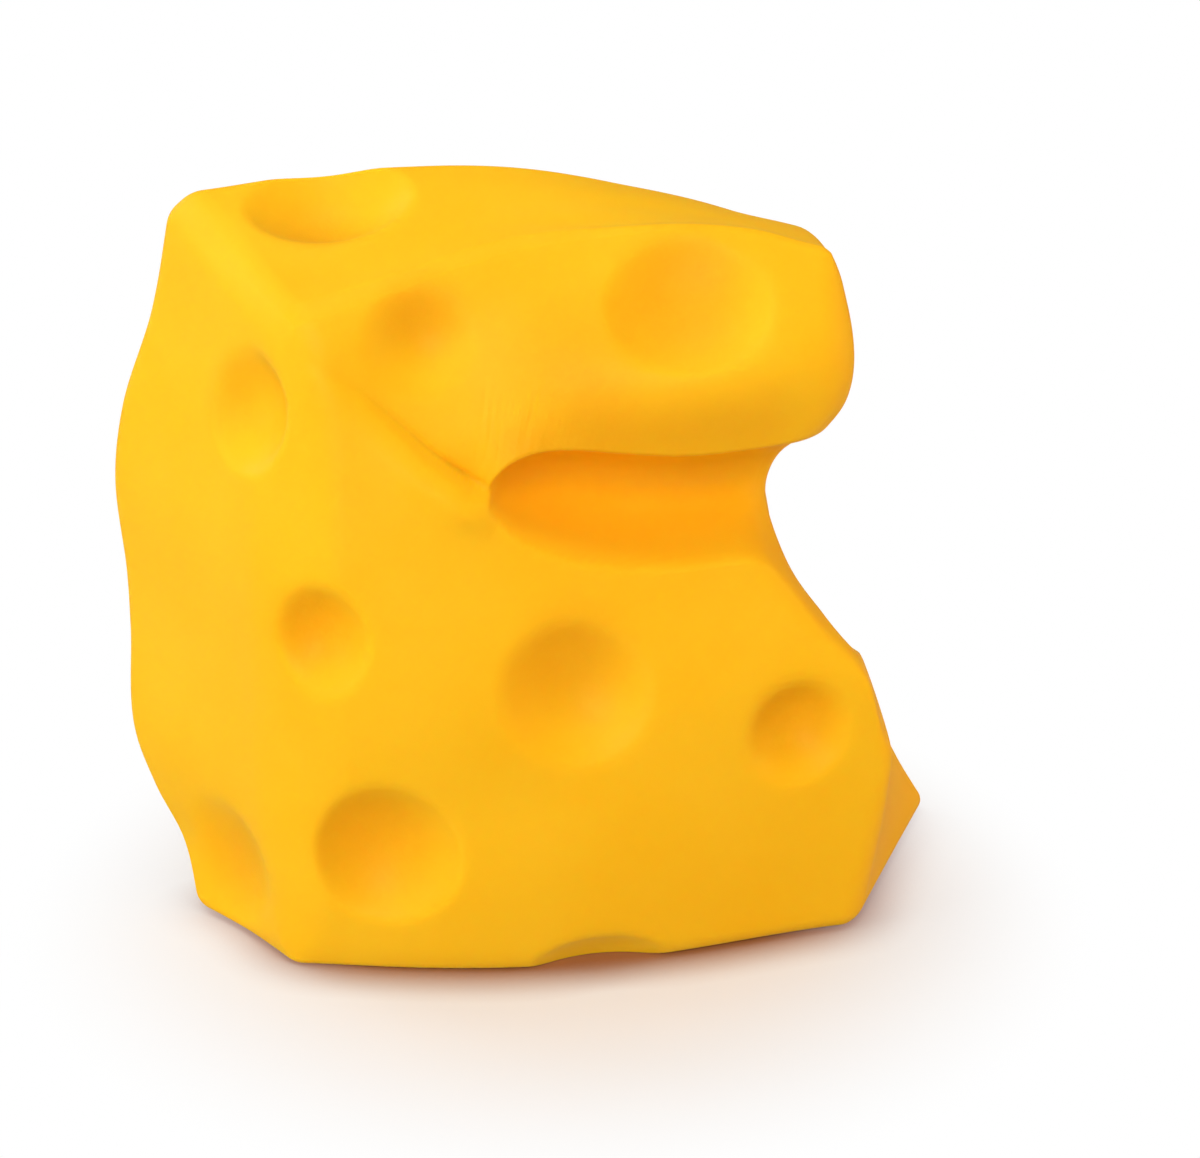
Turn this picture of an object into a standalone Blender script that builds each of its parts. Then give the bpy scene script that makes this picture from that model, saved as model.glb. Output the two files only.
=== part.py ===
"""Squeezed cheese-block stress toy: a soft skin, its syrup filling, and the stopper that closes it.

The block stands on its flat base and is built in the pinched shape it holds after a hard squeeze:
a thumb groove runs in from the right on the front, four finger dents cross the back.
Lengths named in capitals are metres.  Shape tables are in form units: about a millimetre each,
X to the right, Y to the back, Z up from the base, stretched at the end to the overall sizes.
"""
import math

import bmesh
import bpy
import numpy as np

# ---- overall sizes -------------------------------------------------------------------------
TOY_WIDTH = 0.159
TOY_DEPTH = 0.064
TOY_HEIGHT = 0.139

# ---- skin, filling and stopper -------------------------------------------------------------
SKIN_WALL = 0.004
FILLING_CLEARANCE = 0.0004       # filling to the inside of the skin
STOPPER_CLEARANCE = 0.0003       # stopper and seal to the skin
PORT_DIAMETER = 0.010
STOPPER_HEAD_DIAMETER = 0.018
STOPPER_HEAD_THICKNESS = 0.002
SEAL_DIAMETER = 0.018
SEAL_THICKNESS = 0.0010
SEAL_RECESS_DEPTH = 0.0015
SEAL_FLOOR_GAP = 0.0002          # the seal sits this far above the floor
PORT_X = 0.026
PORT_Y = 0.004

# ---- grip marks and craters (form units) ---------------------------------------------------
GROOVE_DEPTH = 30.0
DENT_DEPTH = 12.0
DENT_HALF_HEIGHT = 10.5
CRATER_SCALE = 1.0
INNER_EXTRA = 3.5                # grip marks are this much deeper and wider in the cavity

# ---- mesh density: (fraction of the side reached, cells up to there) -------------------------
OUTER_LINES = (((.03, 1), (.2, 4), (.55, 17), (.97, 13), (1, 1)),
               ((.06, 1), (.94, 8), (1, 1)),
               ((.03, 1), (.5, 13), (.77, 14), (.97, 9), (1, 1)))
INNER_LINES = (((.05, 1), (.95, 14), (1, 1)),
               ((.09, 1), (.91, 4), (1, 1)),
               ((.05, 1), (.5, 7), (.8, 9), (.95, 3), (1, 1)))
ROUND_SIDES = 32

# The four upright corner edges: fraction of the height, then X, Y, Z.
FRONT_LEFT = [(0, -56, 7.5, 0), (.2, -55, 4, 27), (.5, -54, 2, 68), (.75, -52.5, 5, 102), (1, -51, 12, 132)]
FRONT_RIGHT = [(0, 58, 5, 0), (.2, 64, 4, 30), (.3, 65, 4, 41), (.4, 61, 4, 56), (.47, 53, 6, 66),
               (.54, 46, 9, 76), (.63, 44, 11, 88), (.72, 49, 11, 100), (.8, 55.8, 12, 110),
               (.87, 57, 14, 121), (1, 53.5, 21, 140)]
BACK_RIGHT = [(0, 88, 61, 0), (.08, 81, 60, 11), (.14, 77, 60, 18), (.2, 73.5, 60, 28), (.27, 67.5, 60, 38),
              (.36, 57, 60, 50), (.46, 51, 59, 63), (.6, 49, 58, 82), (.74, 52, 57, 100),
              (.85, 55, 57, 113), (1, 55.5, 57, 131.5)]
BACK_LEFT = [(0, -76, 36, 0), (.1, -80, 43, 14), (.17, -85, 47, 24), (.25, -88.2, 50, 35), (.4, -87, 54, 56),
             (.5, -87.2, 56, 68), (.62, -87.6, 59, 87), (.72, -85.6, 61, 102), (.85, -78.8, 61, 122),
             (1, -72.8, 61, 145.5)]

# Soft swellings and hollows: centre, reach along each axis, how far the middle moves.
SWELLS = [
    ((-8, 62, 140), (70, 45, 45), (0, 0, 10.5)),     # hump along the top back edge
    ((20, 62, 136), (45, 45, 40), (0, 0, 1)),        # the same hump running on to the right
    ((56, 24, 140), (18, 30, 18), (-.5, 0, -1.5)),   # end of the lobe rounded down
    ((1, 15, 138), (55, 30, 30), (0, 9, 7)),         # ridge pulled back in the middle
    ((35, 17, 140), (34, 30, 30), (0, 2, 3)),        # ridge over the lobe
    ((-5, 4, 20), (70, 40, 75), (0, -11, 0)),        # belly of the lower front
    ((-27, 4, 75), (45, 40, 45), (0, -6, 0)),        # belly beside the groove
    ((27, 14, 122), (48, 25, 24), (0, -9, 0)),       # lobe rolling forward over the groove
    ((-23, 8, 122), (26, 25, 24), (0, 3.5, 0)),      # dished patch above the crease
    ((66, 36, 86), (34, 50, 30), (-5, 0, 0)),        # right side pinched by the palm
    ((-20, 62, 70), (70, 30, 70), (0, 4, 0)),        # back swelling left of the finger dents
]

# Craters: centre, the way each one opens, radius, depth, how soft its rim is, stretch along X.
CRATERS = [
    ((-47.8, -.8, 73), (-.35, -1, .08), 11.5, 7, 2, 1),
    ((-38.4, -2.8, 27), (-.12, -1, .02), 15.5, 9, 1.5, 1),
    ((.8, -3.5, 61.5), (.12, -1, .12), 15, 7.5, 2, 1),
    ((46, 2.2, 46), (.17, -1, .02), 11.5, 7, 2, 1),
    ((-30.4, 16.6, 128.4), (.2, -1, .25), 9.5, 5, 3, 1),
    ((24, 15, 131.5), (-.03, -.74, .67), 14, 6.5, 1.5, 1.15),
    ((8, -4, -2), (0, -1, -.3), 14.5, 6.5, 1.2, 1.05),
    ((-42.5, 44.5, 144.7), (-.06, -.42, .9), 15, 7.5, 1.6, 1.15),
    ((-59, 19.8, 113.6), (-.86, -.48, .19), 11.5, 7, 2, 1),
    ((-69, 28.5, 10), (-.84, -.53, .02), 17, 6.5, 1.6, 1),
]

# The thumb groove along X: its upper edge, lower edge and the depth of its floor.
GROOVE_UPPER = [(-17, 100.5), (-14, 103), (-11, 105.5), (-7, 107.3), (0, 107.8), (10, 106.5), (23, 105),
                (37, 105.7), (50, 108), (73, 110)]
GROOVE_LOWER = [(-17, 97.5), (-14.5, 94.5), (-10, 89.5), (-2, 85), (5.5, 82), (15, 80), (25, 79.5),
                (38.5, 78.5), (42.5, 75), (50.5, 65), (59, 55), (63, 41), (73, 36)]
GROOVE_FLOOR = [(-24, -.5), (-17, -.12), (-14, .25), (-10, .55), (-4, .82), (3, .95), (13, 1), (83, 1)]

# The crease climbing from the end of the groove: X and Z along it, and how deep each knot tucks in.
CREASE = [(-12, 97, 0), (-18, 100, 3.5), (-25.5, 105.7, 3.2), (-37, 116.7, 1.6), (-43.5, 121.2, .7),
          (-51, 127, 0)]

# Finger dents on the back: height of each, and the X where its tip ends.
FINGER_DENTS = [(114, 6), (93, 0), (72, 3), (52, 14)]


def clear_scene():
    """Remove every object that is already there."""
    for obj in list(bpy.data.objects):
        bpy.data.objects.remove(obj, do_unlink=True)


def make_collection(name):
    """Add a collection under the scene and return it."""
    collection = bpy.data.collections.new(name)
    bpy.context.scene.collection.children.link(collection)
    return collection


def make_material(name, colour, roughness, transmission=0.0):
    """Return a Principled BSDF material."""
    material = bpy.data.materials.new(name)
    material.use_nodes = True
    shader = material.node_tree.nodes["Principled BSDF"]
    shader.inputs["Base Color"].default_value = (*colour, 1.0)
    shader.inputs["Roughness"].default_value = roughness
    shader.inputs["Transmission Weight"].default_value = transmission
    material.diffuse_color = (*colour, 1.0)
    return material


def steps(runs):
    """Grid positions from -1 to 1, in runs of even cells."""
    line, start = [0.0], 0.0
    for end, cells in runs:
        line.extend(start + (end - start) * (k + 1) / cells for k in range(cells))
        start = end
    return [2 * at - 1 for at in line]


def block_grid(runs):
    """Points on the surface of a unit block and the four-sided faces between them."""
    lines = [steps(each) for each in runs]
    last = [len(line) - 1 for line in lines]
    index, points, faces = {}, [], []

    def corner(key):
        if key not in index:
            index[key] = len(points)
            points.append([lines[axis][key[axis]] for axis in range(3)])
        return index[key]

    for axis in range(3):
        first, second = (axis + 1) % 3, (axis + 2) % 3
        for side in (0, last[axis]):
            for i in range(last[first]):
                for j in range(last[second]):
                    ring = []
                    for di, dj in ((0, 0), (1, 0), (1, 1), (0, 1)):
                        key = [0, 0, 0]
                        key[axis], key[first], key[second] = side, i + di, j + dj
                        ring.append(corner(tuple(key)))
                    faces.append(ring if side else ring[::-1])
    return np.array(points, float), faces


def along_edge(knots, fraction):
    """Smooth curve through the knots of one upright edge."""
    table = np.array(knots, float)
    at, value = table[:, 0], table[:, 1:]
    slope = np.diff(value, axis=0) / np.diff(at)[:, None]
    tangent = np.vstack([slope[:1], (slope[:-1] + slope[1:]) / 2, slope[-1:]])
    i = np.clip(np.searchsorted(at, fraction, side="right") - 1, 0, len(at) - 2)
    span = (at[i + 1] - at[i])[:, None]
    s = (fraction - at[i])[:, None] / span
    return ((2 * s**3 - 3 * s**2 + 1) * value[i] + (s**3 - 2 * s**2 + s) * span * tangent[i]
            + (3 * s**2 - 2 * s**3) * value[i + 1] + (s**3 - s**2) * span * tangent[i + 1])


def between_edges(u, v, w):
    """Point inside the four upright edges at fractions across, back and up."""
    return (((1 - u) * (1 - v))[:, None] * along_edge(FRONT_LEFT, w)
            + (u * (1 - v))[:, None] * along_edge(FRONT_RIGHT, w)
            + (u * v)[:, None] * along_edge(BACK_RIGHT, w)
            + ((1 - u) * v)[:, None] * along_edge(BACK_LEFT, w))


def edge_radii(grid):
    """Radius of the outer edges: wide along the front left edge and the upper front right edge."""
    x, y, z = grid[:, :1], grid[:, 1:2], grid[:, 2:]
    side = (1 - x) / 2 + (1 + x) / 2 * np.clip(0.5 + 2.5 * z, 0, 1)
    return 4.0 + 9.0 * (1 - z**4) * side * (1 - y) / 2


def rounded_fractions(grid, radius, inset):
    """Round the edges of the unit block, shrink it by the inset, and return fractions from 0 to 1."""
    half = np.array([62.0, 27.0, 70.0])
    q = grid * half
    core = np.clip(q, radius - half, half - radius)
    out = q - core
    length = np.linalg.norm(out, axis=1, keepdims=True)
    reach = np.abs(out).max(axis=1, keepdims=True)
    q = np.where(length > 1e-9, core + out / np.maximum(length, 1e-9) * reach, q)
    return (q / half * (1 - np.array(inset)) * 0.5 + 0.5).T


def swell(points, centre, reach, move):
    """Move the points near a centre, fading to nothing at the reach."""
    s = (((points - np.array(centre, float)) / np.array(reach, float)) ** 2).sum(axis=1)
    weight = np.where(s < 1, (1 - s) ** 2, 0)
    return points + weight[:, None] * np.array(move, float)


def soft_min(a, b, soft):
    """Smaller of two values, with the change-over rounded within the soft range."""
    h = np.clip(1 - np.abs(a - b) / soft, 0, None)
    return np.minimum(a, b) - h * h * soft * 0.25


def table_value(table, x):
    """Read a two-column table at x."""
    columns = np.array(table, float)
    return np.interp(x, columns[:, 0], columns[:, 1])


def groove_push(points, extra):
    """How far back the thumb presses each point of the front face."""
    x, y, z = points.T
    upper, lower = table_value(GROOVE_UPPER, x), table_value(GROOVE_LOWER, x)
    floor = GROOVE_DEPTH * table_value(GROOVE_FLOOR, x) + extra
    s = np.minimum(np.abs(z - (upper + lower) / 2) / ((upper - lower) / 2 + extra), 3)
    bowl = floor - (np.maximum(floor, 0) + 2) * s**2.6
    return -soft_min(-y, -bowl, 9.0) - y


def crease_push(points, extra):
    """How far the side above the crease tucks in behind the lip below it."""
    knots = np.array(CREASE, float)
    nearest = np.full(len(points), np.inf)
    side, amount = np.zeros(len(points)), np.zeros(len(points))
    for (x0, z0, deep0), (x1, z1, deep1) in zip(knots[:-1], knots[1:]):
        run = math.hypot(x1 - x0, z1 - z0)
        dx, dz = points[:, 0] - x0, points[:, 2] - z0
        t = np.clip((dx * (x1 - x0) + dz * (z1 - z0)) / run**2, 0, 1)
        gap_x, gap_z = dx - t * (x1 - x0), dz - t * (z1 - z0)
        gap = np.hypot(gap_x, gap_z)
        closer = gap < nearest
        nearest = np.where(closer, gap, nearest)
        above = np.where(dx * (z1 - z0) - dz * (x1 - x0) > 0, 1, -1)
        side = np.where(closer, above * gap, side)
        amount = np.where(closer, deep0 + t * (deep1 - deep0), amount)
    tuck = (0.5 + 0.5 * np.tanh((side + extra) / 1.5)) * np.exp(-np.maximum(side - extra, 0) / 7)
    lip = 0.0 if extra else 0.35 * np.exp(-(((side + 4) / 3.2) ** 2))
    return amount * (tuck - lip)


def dent_push(points, height, tip_x, extra):
    """How far forward one finger presses each point of the back face."""
    x, y, z = points.T
    s = (z - height) / (DENT_HALF_HEIGHT + extra)
    along = np.clip((tip_x + 14 - x) / 20, 0, None)
    bowl = 60 - DENT_DEPTH - extra + DENT_DEPTH * (s * s + along**2)
    return soft_min(y, bowl, 7.0) - y


def crater(points, centre, opening, radius, depth, soft, stretch):
    """Press one round dish into the surface."""
    axis = np.array(opening, float) / np.linalg.norm(opening)
    local = points - np.array(centre, float)
    height = local @ axis
    across = local - height[:, None] * axis
    across[:, 0] /= stretch
    dish = -depth + depth * (across**2).sum(axis=1) / radius**2
    return points + (soft_min(height, dish, soft) - height)[:, None] * axis


def shape(grid, inset=(0, 0, 0), inner=False):
    """Form the squeezed block; the inner form is inset, with rounder edges and wider dishes."""
    u, v, w = rounded_fractions(grid, 10.0 if inner else edge_radii(grid), inset)
    points = between_edges(u, v, w)
    front = between_edges(u, np.zeros_like(v), w)
    back = between_edges(u, np.ones_like(v), w)
    for centre, reach, move in SWELLS:
        points, front, back = (swell(each, centre, reach, move) for each in (points, front, back))
    extra = INNER_EXTRA if inner else 0.0
    fold = crease_push(front, extra)
    front[:, 1] += fold
    points[:, 1] += (fold + groove_push(front, extra)) * (1 - v)
    for height, tip_x in FINGER_DENTS:
        push = dent_push(back, height, tip_x, extra)
        back[:, 1] += push
        points[:, 1] += push * v
    for centre, opening, radius, depth, soft, stretch in CRATERS:
        radius, depth = radius * CRATER_SCALE, depth * CRATER_SCALE
        if inner:
            axis = np.array(opening, float) / np.linalg.norm(opening)
            moved = swell(points, centre, [radius + 12] * 3, -axis * (depth + 3))
            points += (moved - points) * (1 - v**3)[:, None]
        else:
            points = crater(points, centre, opening, radius, depth, soft, stretch)
    return points


def fit_to_size(points, low, high):
    """Stretch form units to the overall sizes, centred in plan and standing on zero."""
    size = np.array([TOY_WIDTH, TOY_DEPTH, TOY_HEIGHT])
    middle = (low + high) / 2
    out = (points - middle) / (high - low) * size
    out[:, 2] += TOY_HEIGHT / 2
    out[:, 2] = np.maximum(out[:, 2], 0)
    return out


def vertex_normals(points, triangles):
    """Outward normals at the points."""
    a, b, c = (points[triangles[:, k]] for k in range(3))
    face = np.cross(b - a, c - a)
    normal = np.zeros_like(points)
    for k in range(3):
        np.add.at(normal, triangles[:, k], face)
    return normal / np.linalg.norm(normal, axis=1, keepdims=True)


def add_mesh(name, points, faces, collection, material):
    """Make a mesh object from points and faces."""
    mesh = bpy.data.meshes.new(name)
    mesh.from_pydata([tuple(p) for p in points.tolist()], [], [tuple(f) for f in faces])
    mesh.materials.append(material)
    mesh.update()
    obj = bpy.data.objects.new(name, mesh)
    collection.objects.link(obj)
    return obj


def add_turned(name, profile, collection, material):
    """Turn a closed (radius, height) profile about the port axis with a Screw modifier."""
    points = np.array([(radius, 0.0, height) for radius, height in profile])
    mesh = bpy.data.meshes.new(name)
    mesh.from_pydata([tuple(p) for p in points.tolist()], [(k, k + 1) for k in range(len(points) - 1)], [])
    mesh.materials.append(material)
    obj = bpy.data.objects.new(name, mesh)
    collection.objects.link(obj)
    obj.location = (PORT_X, PORT_Y, 0.0)
    screw = obj.modifiers.new("turn", "SCREW")
    screw.axis = "Z"
    screw.angle = math.tau
    screw.steps = ROUND_SIDES
    screw.render_steps = ROUND_SIDES
    screw.use_merge_vertices = True
    screw.merge_threshold = 1e-6
    screw.use_normal_calculate = True
    return obj


def add_disc(name, radius, low, high, collection, material):
    """Add a round plate or cutter standing about the port axis."""
    mesh = bpy.data.meshes.new(name)
    form = bmesh.new()
    bmesh.ops.create_cone(form, cap_ends=True, segments=ROUND_SIDES, radius1=radius, radius2=radius,
                          depth=high - low)
    form.to_mesh(mesh)
    form.free()
    mesh.materials.append(material)
    obj = bpy.data.objects.new(name, mesh)
    obj.location = (PORT_X, PORT_Y, (low + high) / 2)
    collection.objects.link(obj)
    return obj


def cut(obj, cutter):
    """Take one shape out of another."""
    modifier = obj.modifiers.new("cut " + cutter.name, "BOOLEAN")
    modifier.operation = "DIFFERENCE"
    modifier.solver = "EXACT"
    modifier.object = cutter
    cutter.hide_render = True
    cutter.display_type = "WIRE"


def main():
    clear_scene()
    parts = make_collection("squeezed_cheese_stress_toy")
    cutters = make_collection("cutters")

    rubber = make_material("yellow_rubber", (0.98, 0.56, 0.02), 0.6)
    syrup = make_material("amber_syrup", (0.80, 0.42, 0.08), 0.15, 0.6)
    stopper_rubber = make_material("stopper_rubber", (0.90, 0.50, 0.05), 0.55)
    seal_rubber = make_material("seal_rubber", (0.95, 0.60, 0.10), 0.35)

    # Outer skin form.
    grid, faces = block_grid(OUTER_LINES)
    outer = shape(grid)
    low, high = outer.min(axis=0), outer.max(axis=0)
    skin = add_mesh("skin", fit_to_size(outer, low, high), faces, parts, rubber)

    # Cavity and filling share one set of triangles, so the gap between them stays even.
    inner_grid, inner_faces = block_grid(INNER_LINES)
    triangles = np.array([[f[a], f[b], f[c]] for f in inner_faces for a, b, c in ((0, 1, 2), (0, 2, 3))])
    inset = (SKIN_WALL / (0.4 * TOY_WIDTH), SKIN_WALL / (0.4 * TOY_DEPTH), SKIN_WALL / (0.5 * TOY_HEIGHT))
    inner = fit_to_size(shape(inner_grid, inset, inner=True), low, high)
    cavity_floor = inner_grid[:, 2] == -1
    inner[cavity_floor, 2] = SKIN_WALL
    contents = inner - vertex_normals(inner, triangles) * FILLING_CLEARANCE
    contents[cavity_floor, 2] = SKIN_WALL + FILLING_CLEARANCE
    triangle_list = triangles.tolist()
    cavity = add_mesh("cavity_cutter", inner, triangle_list, cutters, rubber)
    filling = add_mesh("maltose_filling", contents, triangle_list, parts, syrup)

    # Fill port, its recess for the seal, and the pocket the stopper head takes in the filling.
    port_radius = PORT_DIAMETER / 2
    head_radius = STOPPER_HEAD_DIAMETER / 2
    seal_radius = SEAL_DIAMETER / 2
    head_low = SKIN_WALL + STOPPER_CLEARANCE
    head_high = head_low + STOPPER_HEAD_THICKNESS
    port = add_disc("port_cutter", port_radius, -0.002, SKIN_WALL + 0.001, cutters, rubber)
    recess = add_disc("recess_cutter", seal_radius + STOPPER_CLEARANCE, -0.002, SEAL_RECESS_DEPTH,
                      cutters, rubber)
    pocket = add_disc("pocket_cutter", head_radius + FILLING_CLEARANCE, SKIN_WALL - 0.001,
                      head_high + FILLING_CLEARANCE, cutters, syrup)
    cut(skin, cavity)
    cut(skin, port)
    cut(skin, recess)
    cut(filling, pocket)

    stem_radius = port_radius - STOPPER_CLEARANCE
    lead_in = 0.0006
    add_turned("fill_stopper", [
        (0.0, SEAL_RECESS_DEPTH), (stem_radius - lead_in, SEAL_RECESS_DEPTH),
        (stem_radius, SEAL_RECESS_DEPTH + lead_in), (stem_radius, head_low),
        (head_radius, head_low), (head_radius, head_high - lead_in),
        (head_radius - lead_in, head_high), (0.0, head_high)], parts, stopper_rubber)
    add_disc("stopper_seal", seal_radius, SEAL_FLOOR_GAP, SEAL_FLOOR_GAP + SEAL_THICKNESS,
             parts, seal_rubber)


main()
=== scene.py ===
"""Squeezed cheese-block stress toy: fine form, finishes, studio light and camera.

The block stands on its flat base in the pinched shape that a right hand leaves: a thumb groove
runs in from the right across the front, a crease climbs from its end, and four finger dents cross
the back.  Form tables are in form units, about a millimetre each, X to the right, Y to the back
and Z up from the base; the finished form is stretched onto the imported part's own box.
"""

import logging
import math
from dataclasses import dataclass, field
from enum import Enum

import bmesh
import bpy
import numpy as np
from mathutils import Matrix, Vector


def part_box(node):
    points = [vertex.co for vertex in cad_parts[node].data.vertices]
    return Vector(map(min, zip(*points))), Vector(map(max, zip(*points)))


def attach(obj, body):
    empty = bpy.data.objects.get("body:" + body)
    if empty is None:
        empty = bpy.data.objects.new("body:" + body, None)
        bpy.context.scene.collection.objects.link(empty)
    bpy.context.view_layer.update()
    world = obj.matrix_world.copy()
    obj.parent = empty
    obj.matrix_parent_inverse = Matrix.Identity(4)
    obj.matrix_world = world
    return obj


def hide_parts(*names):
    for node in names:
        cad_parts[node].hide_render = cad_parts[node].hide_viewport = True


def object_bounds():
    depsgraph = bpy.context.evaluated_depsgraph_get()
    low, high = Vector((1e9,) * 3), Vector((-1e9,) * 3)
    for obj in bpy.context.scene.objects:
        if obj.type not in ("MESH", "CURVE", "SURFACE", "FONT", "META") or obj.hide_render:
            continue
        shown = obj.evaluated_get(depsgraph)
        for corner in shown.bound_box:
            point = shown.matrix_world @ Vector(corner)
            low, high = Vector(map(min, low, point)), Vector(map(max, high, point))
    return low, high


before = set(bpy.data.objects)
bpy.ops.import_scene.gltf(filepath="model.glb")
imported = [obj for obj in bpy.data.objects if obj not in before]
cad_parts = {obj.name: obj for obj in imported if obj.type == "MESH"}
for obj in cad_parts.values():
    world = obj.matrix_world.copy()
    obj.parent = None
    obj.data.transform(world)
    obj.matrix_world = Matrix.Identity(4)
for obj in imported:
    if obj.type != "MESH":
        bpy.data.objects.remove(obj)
CAD_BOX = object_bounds()

log = logging.getLogger("cheese_toy")

Triple = tuple[float, float, float]
Table = tuple[tuple[float, ...], ...]
MM = 0.001
WHITE = (1.0, 1.0, 1.0, 1.0)
# Lengths too short to count: of a vector with no direction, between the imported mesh's doubled
# vertices in metres, and between the joined grids' edges on a cube 2 across.
NO_LENGTH = 1e-9
MERGE = 1e-6
GRID_MERGE = 1e-4


# ---------------------------------------------------------------------------- small tools
def linear_colour(code: str) -> tuple[float, float, float, float]:
    """Turn an sRGB hex colour into linear values.

    Args:
        code: colour such as "#fec629".

    Returns:
        Linear red, green, blue and full opacity.
    """
    channels = [int(code[i:i + 2], 16) / 255 for i in (1, 3, 5)]
    linear = [c / 12.92 if c <= 0.04045 else ((c + 0.055) / 1.055) ** 2.4 for c in channels]
    return (*linear, 1.0)


def add_node(tree: bpy.types.NodeTree, kind: str, settings: dict | None = None,
             inputs: dict | None = None) -> bpy.types.Node:
    """Add a shader node, set it up and link it.

    Args:
        tree: node tree that receives the node.
        kind: node type name.
        settings: node properties to set.
        inputs: socket name or number mapped to a value, or to an output socket to link.

    Returns:
        The new node.
    """
    node = tree.nodes.new(kind)
    for name, value in (settings or {}).items():
        setattr(node, name, value)
    for name, value in (inputs or {}).items():
        if isinstance(value, bpy.types.NodeSocket):
            tree.links.new(value, node.inputs[name])
        else:
            node.inputs[name].default_value = value
    return node


def new_material(name: str) -> tuple[bpy.types.Material, bpy.types.NodeTree]:
    """Start a material with an empty node tree.

    Args:
        name: material name.

    Returns:
        The material and its tree.
    """
    material = bpy.data.materials.new(name)
    material.use_nodes = True
    material.node_tree.nodes.clear()
    return material, material.node_tree


def deselect_all() -> None:
    """Leave nothing selected."""
    for each in list(bpy.context.selected_objects):
        each.select_set(False)


def make_active(obj: bpy.types.Object) -> None:
    """Select one object alone and make it active."""
    deselect_all()
    obj.select_set(True)
    bpy.context.view_layer.objects.active = obj


def apply_place(obj: bpy.types.Object) -> None:
    """Move an object's place, turn and size into its mesh, so its origin is the world's."""
    make_active(obj)
    bpy.ops.object.transform_apply(location=True, rotation=True, scale=True)


# ---------------------------------------------------------------------------- form strokes
def soft_min(a: np.ndarray, b: np.ndarray, soft: float) -> np.ndarray:
    """Take the smaller of two values, easing from one to the other.

    Args:
        a: first values.
        b: second values.
        soft: difference within which the change-over is rounded.

    Returns:
        The smaller values.
    """
    blend = np.clip(1 - np.abs(a - b) / soft, 0, None)
    return np.minimum(a, b) - blend * blend * soft * 0.25


def smooth_curve(table: Table, at: np.ndarray) -> np.ndarray:
    """Run a smooth curve through knots.

    Args:
        table: rows of position followed by the values there.
        at: positions to read, held at the ends of the table.

    Returns:
        One row of values for each position.
    """
    rows = np.array(table, float)
    knots, value = rows[:, 0], rows[:, 1:]
    at = np.clip(at, knots[0], knots[-1])
    slope = np.diff(value, axis=0) / np.diff(knots)[:, None]
    tangent = np.vstack([slope[:1], (slope[:-1] + slope[1:]) / 2, slope[-1:]])
    i = np.clip(np.searchsorted(knots, at, side="right") - 1, 0, len(knots) - 2)
    span = (knots[i + 1] - knots[i])[:, None]
    s = (at - knots[i])[:, None] / span
    return ((2 * s**3 - 3 * s**2 + 1) * value[i] + (s**3 - 2 * s**2 + s) * span * tangent[i]
            + (3 * s**2 - 2 * s**3) * value[i + 1] + (s**3 - s**2) * span * tangent[i + 1])


def table_value(table: Table, at: np.ndarray) -> np.ndarray:
    """Read a two-column table, eased through its knots."""
    return smooth_curve(table, at)[:, 0]


@dataclass(frozen=True)
class Swell:
    """Grab stroke: points near the centre move, fading to nothing at the reach."""

    centre: Triple
    reach: Triple
    move: Triple

    def press(self, points: np.ndarray) -> np.ndarray:
        """Move the points near the centre.

        Args:
            points: points of the form.

        Returns:
            The moved points.
        """
        s = (((points - np.array(self.centre)) / np.array(self.reach)) ** 2).sum(axis=1)
        weight = np.where(s < 1, (1 - s) ** 2, 0)
        return points + weight[:, None] * np.array(self.move, float)


@dataclass(frozen=True)
class Crater:
    """Round dish pressed in by the mould, facing the opening's way.

    A low soft value leaves a crisp rim, and stretch widens the dish along X.
    """

    centre: Triple
    opening: Triple
    radius: float
    depth: float
    soft: float = 3.0
    stretch: float = 1.0

    def press(self, points: np.ndarray) -> np.ndarray:
        """Press the dish in.

        Args:
            points: points of the form.

        Returns:
            The points, those above the dish lowered onto it.
        """
        axis = np.array(self.opening, float) / np.linalg.norm(self.opening)
        local = points - np.array(self.centre, float)
        height = local @ axis
        across = local - height[:, None] * axis
        across[:, 0] /= self.stretch
        dish = -self.depth + self.depth * (across**2).sum(axis=1) / self.radius**2
        return points + (soft_min(height, dish, self.soft) - height)[:, None] * axis


@dataclass(frozen=True)
class ThumbGroove:
    """Groove that a thumb leaves across the front: its edges and floor along X.

    The floor table gives shares of the depth, and the walls rise from it to stand proud of the face
    by the brim.
    """

    upper: Table
    lower: Table
    floor: Table
    depth: float = 30.0
    lip: float = 6.0
    brim: float = 2.0
    roundness: float = 2.6
    widest: float = 3.0

    def push(self, front: np.ndarray) -> np.ndarray:
        """Measure how far the thumb presses the front face in.

        Args:
            front: points of the front face.

        Returns:
            How far back each point goes.
        """
        x, y, z = front.T
        upper, lower = table_value(self.upper, x), table_value(self.lower, x)
        floor = self.depth * table_value(self.floor, x)
        s = np.minimum(np.abs(z - (upper + lower) / 2) / ((upper - lower) / 2), self.widest)
        bowl = floor - (np.maximum(floor, 0) + self.brim) * s**self.roundness
        return -soft_min(-y, -bowl, self.lip) - y


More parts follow.
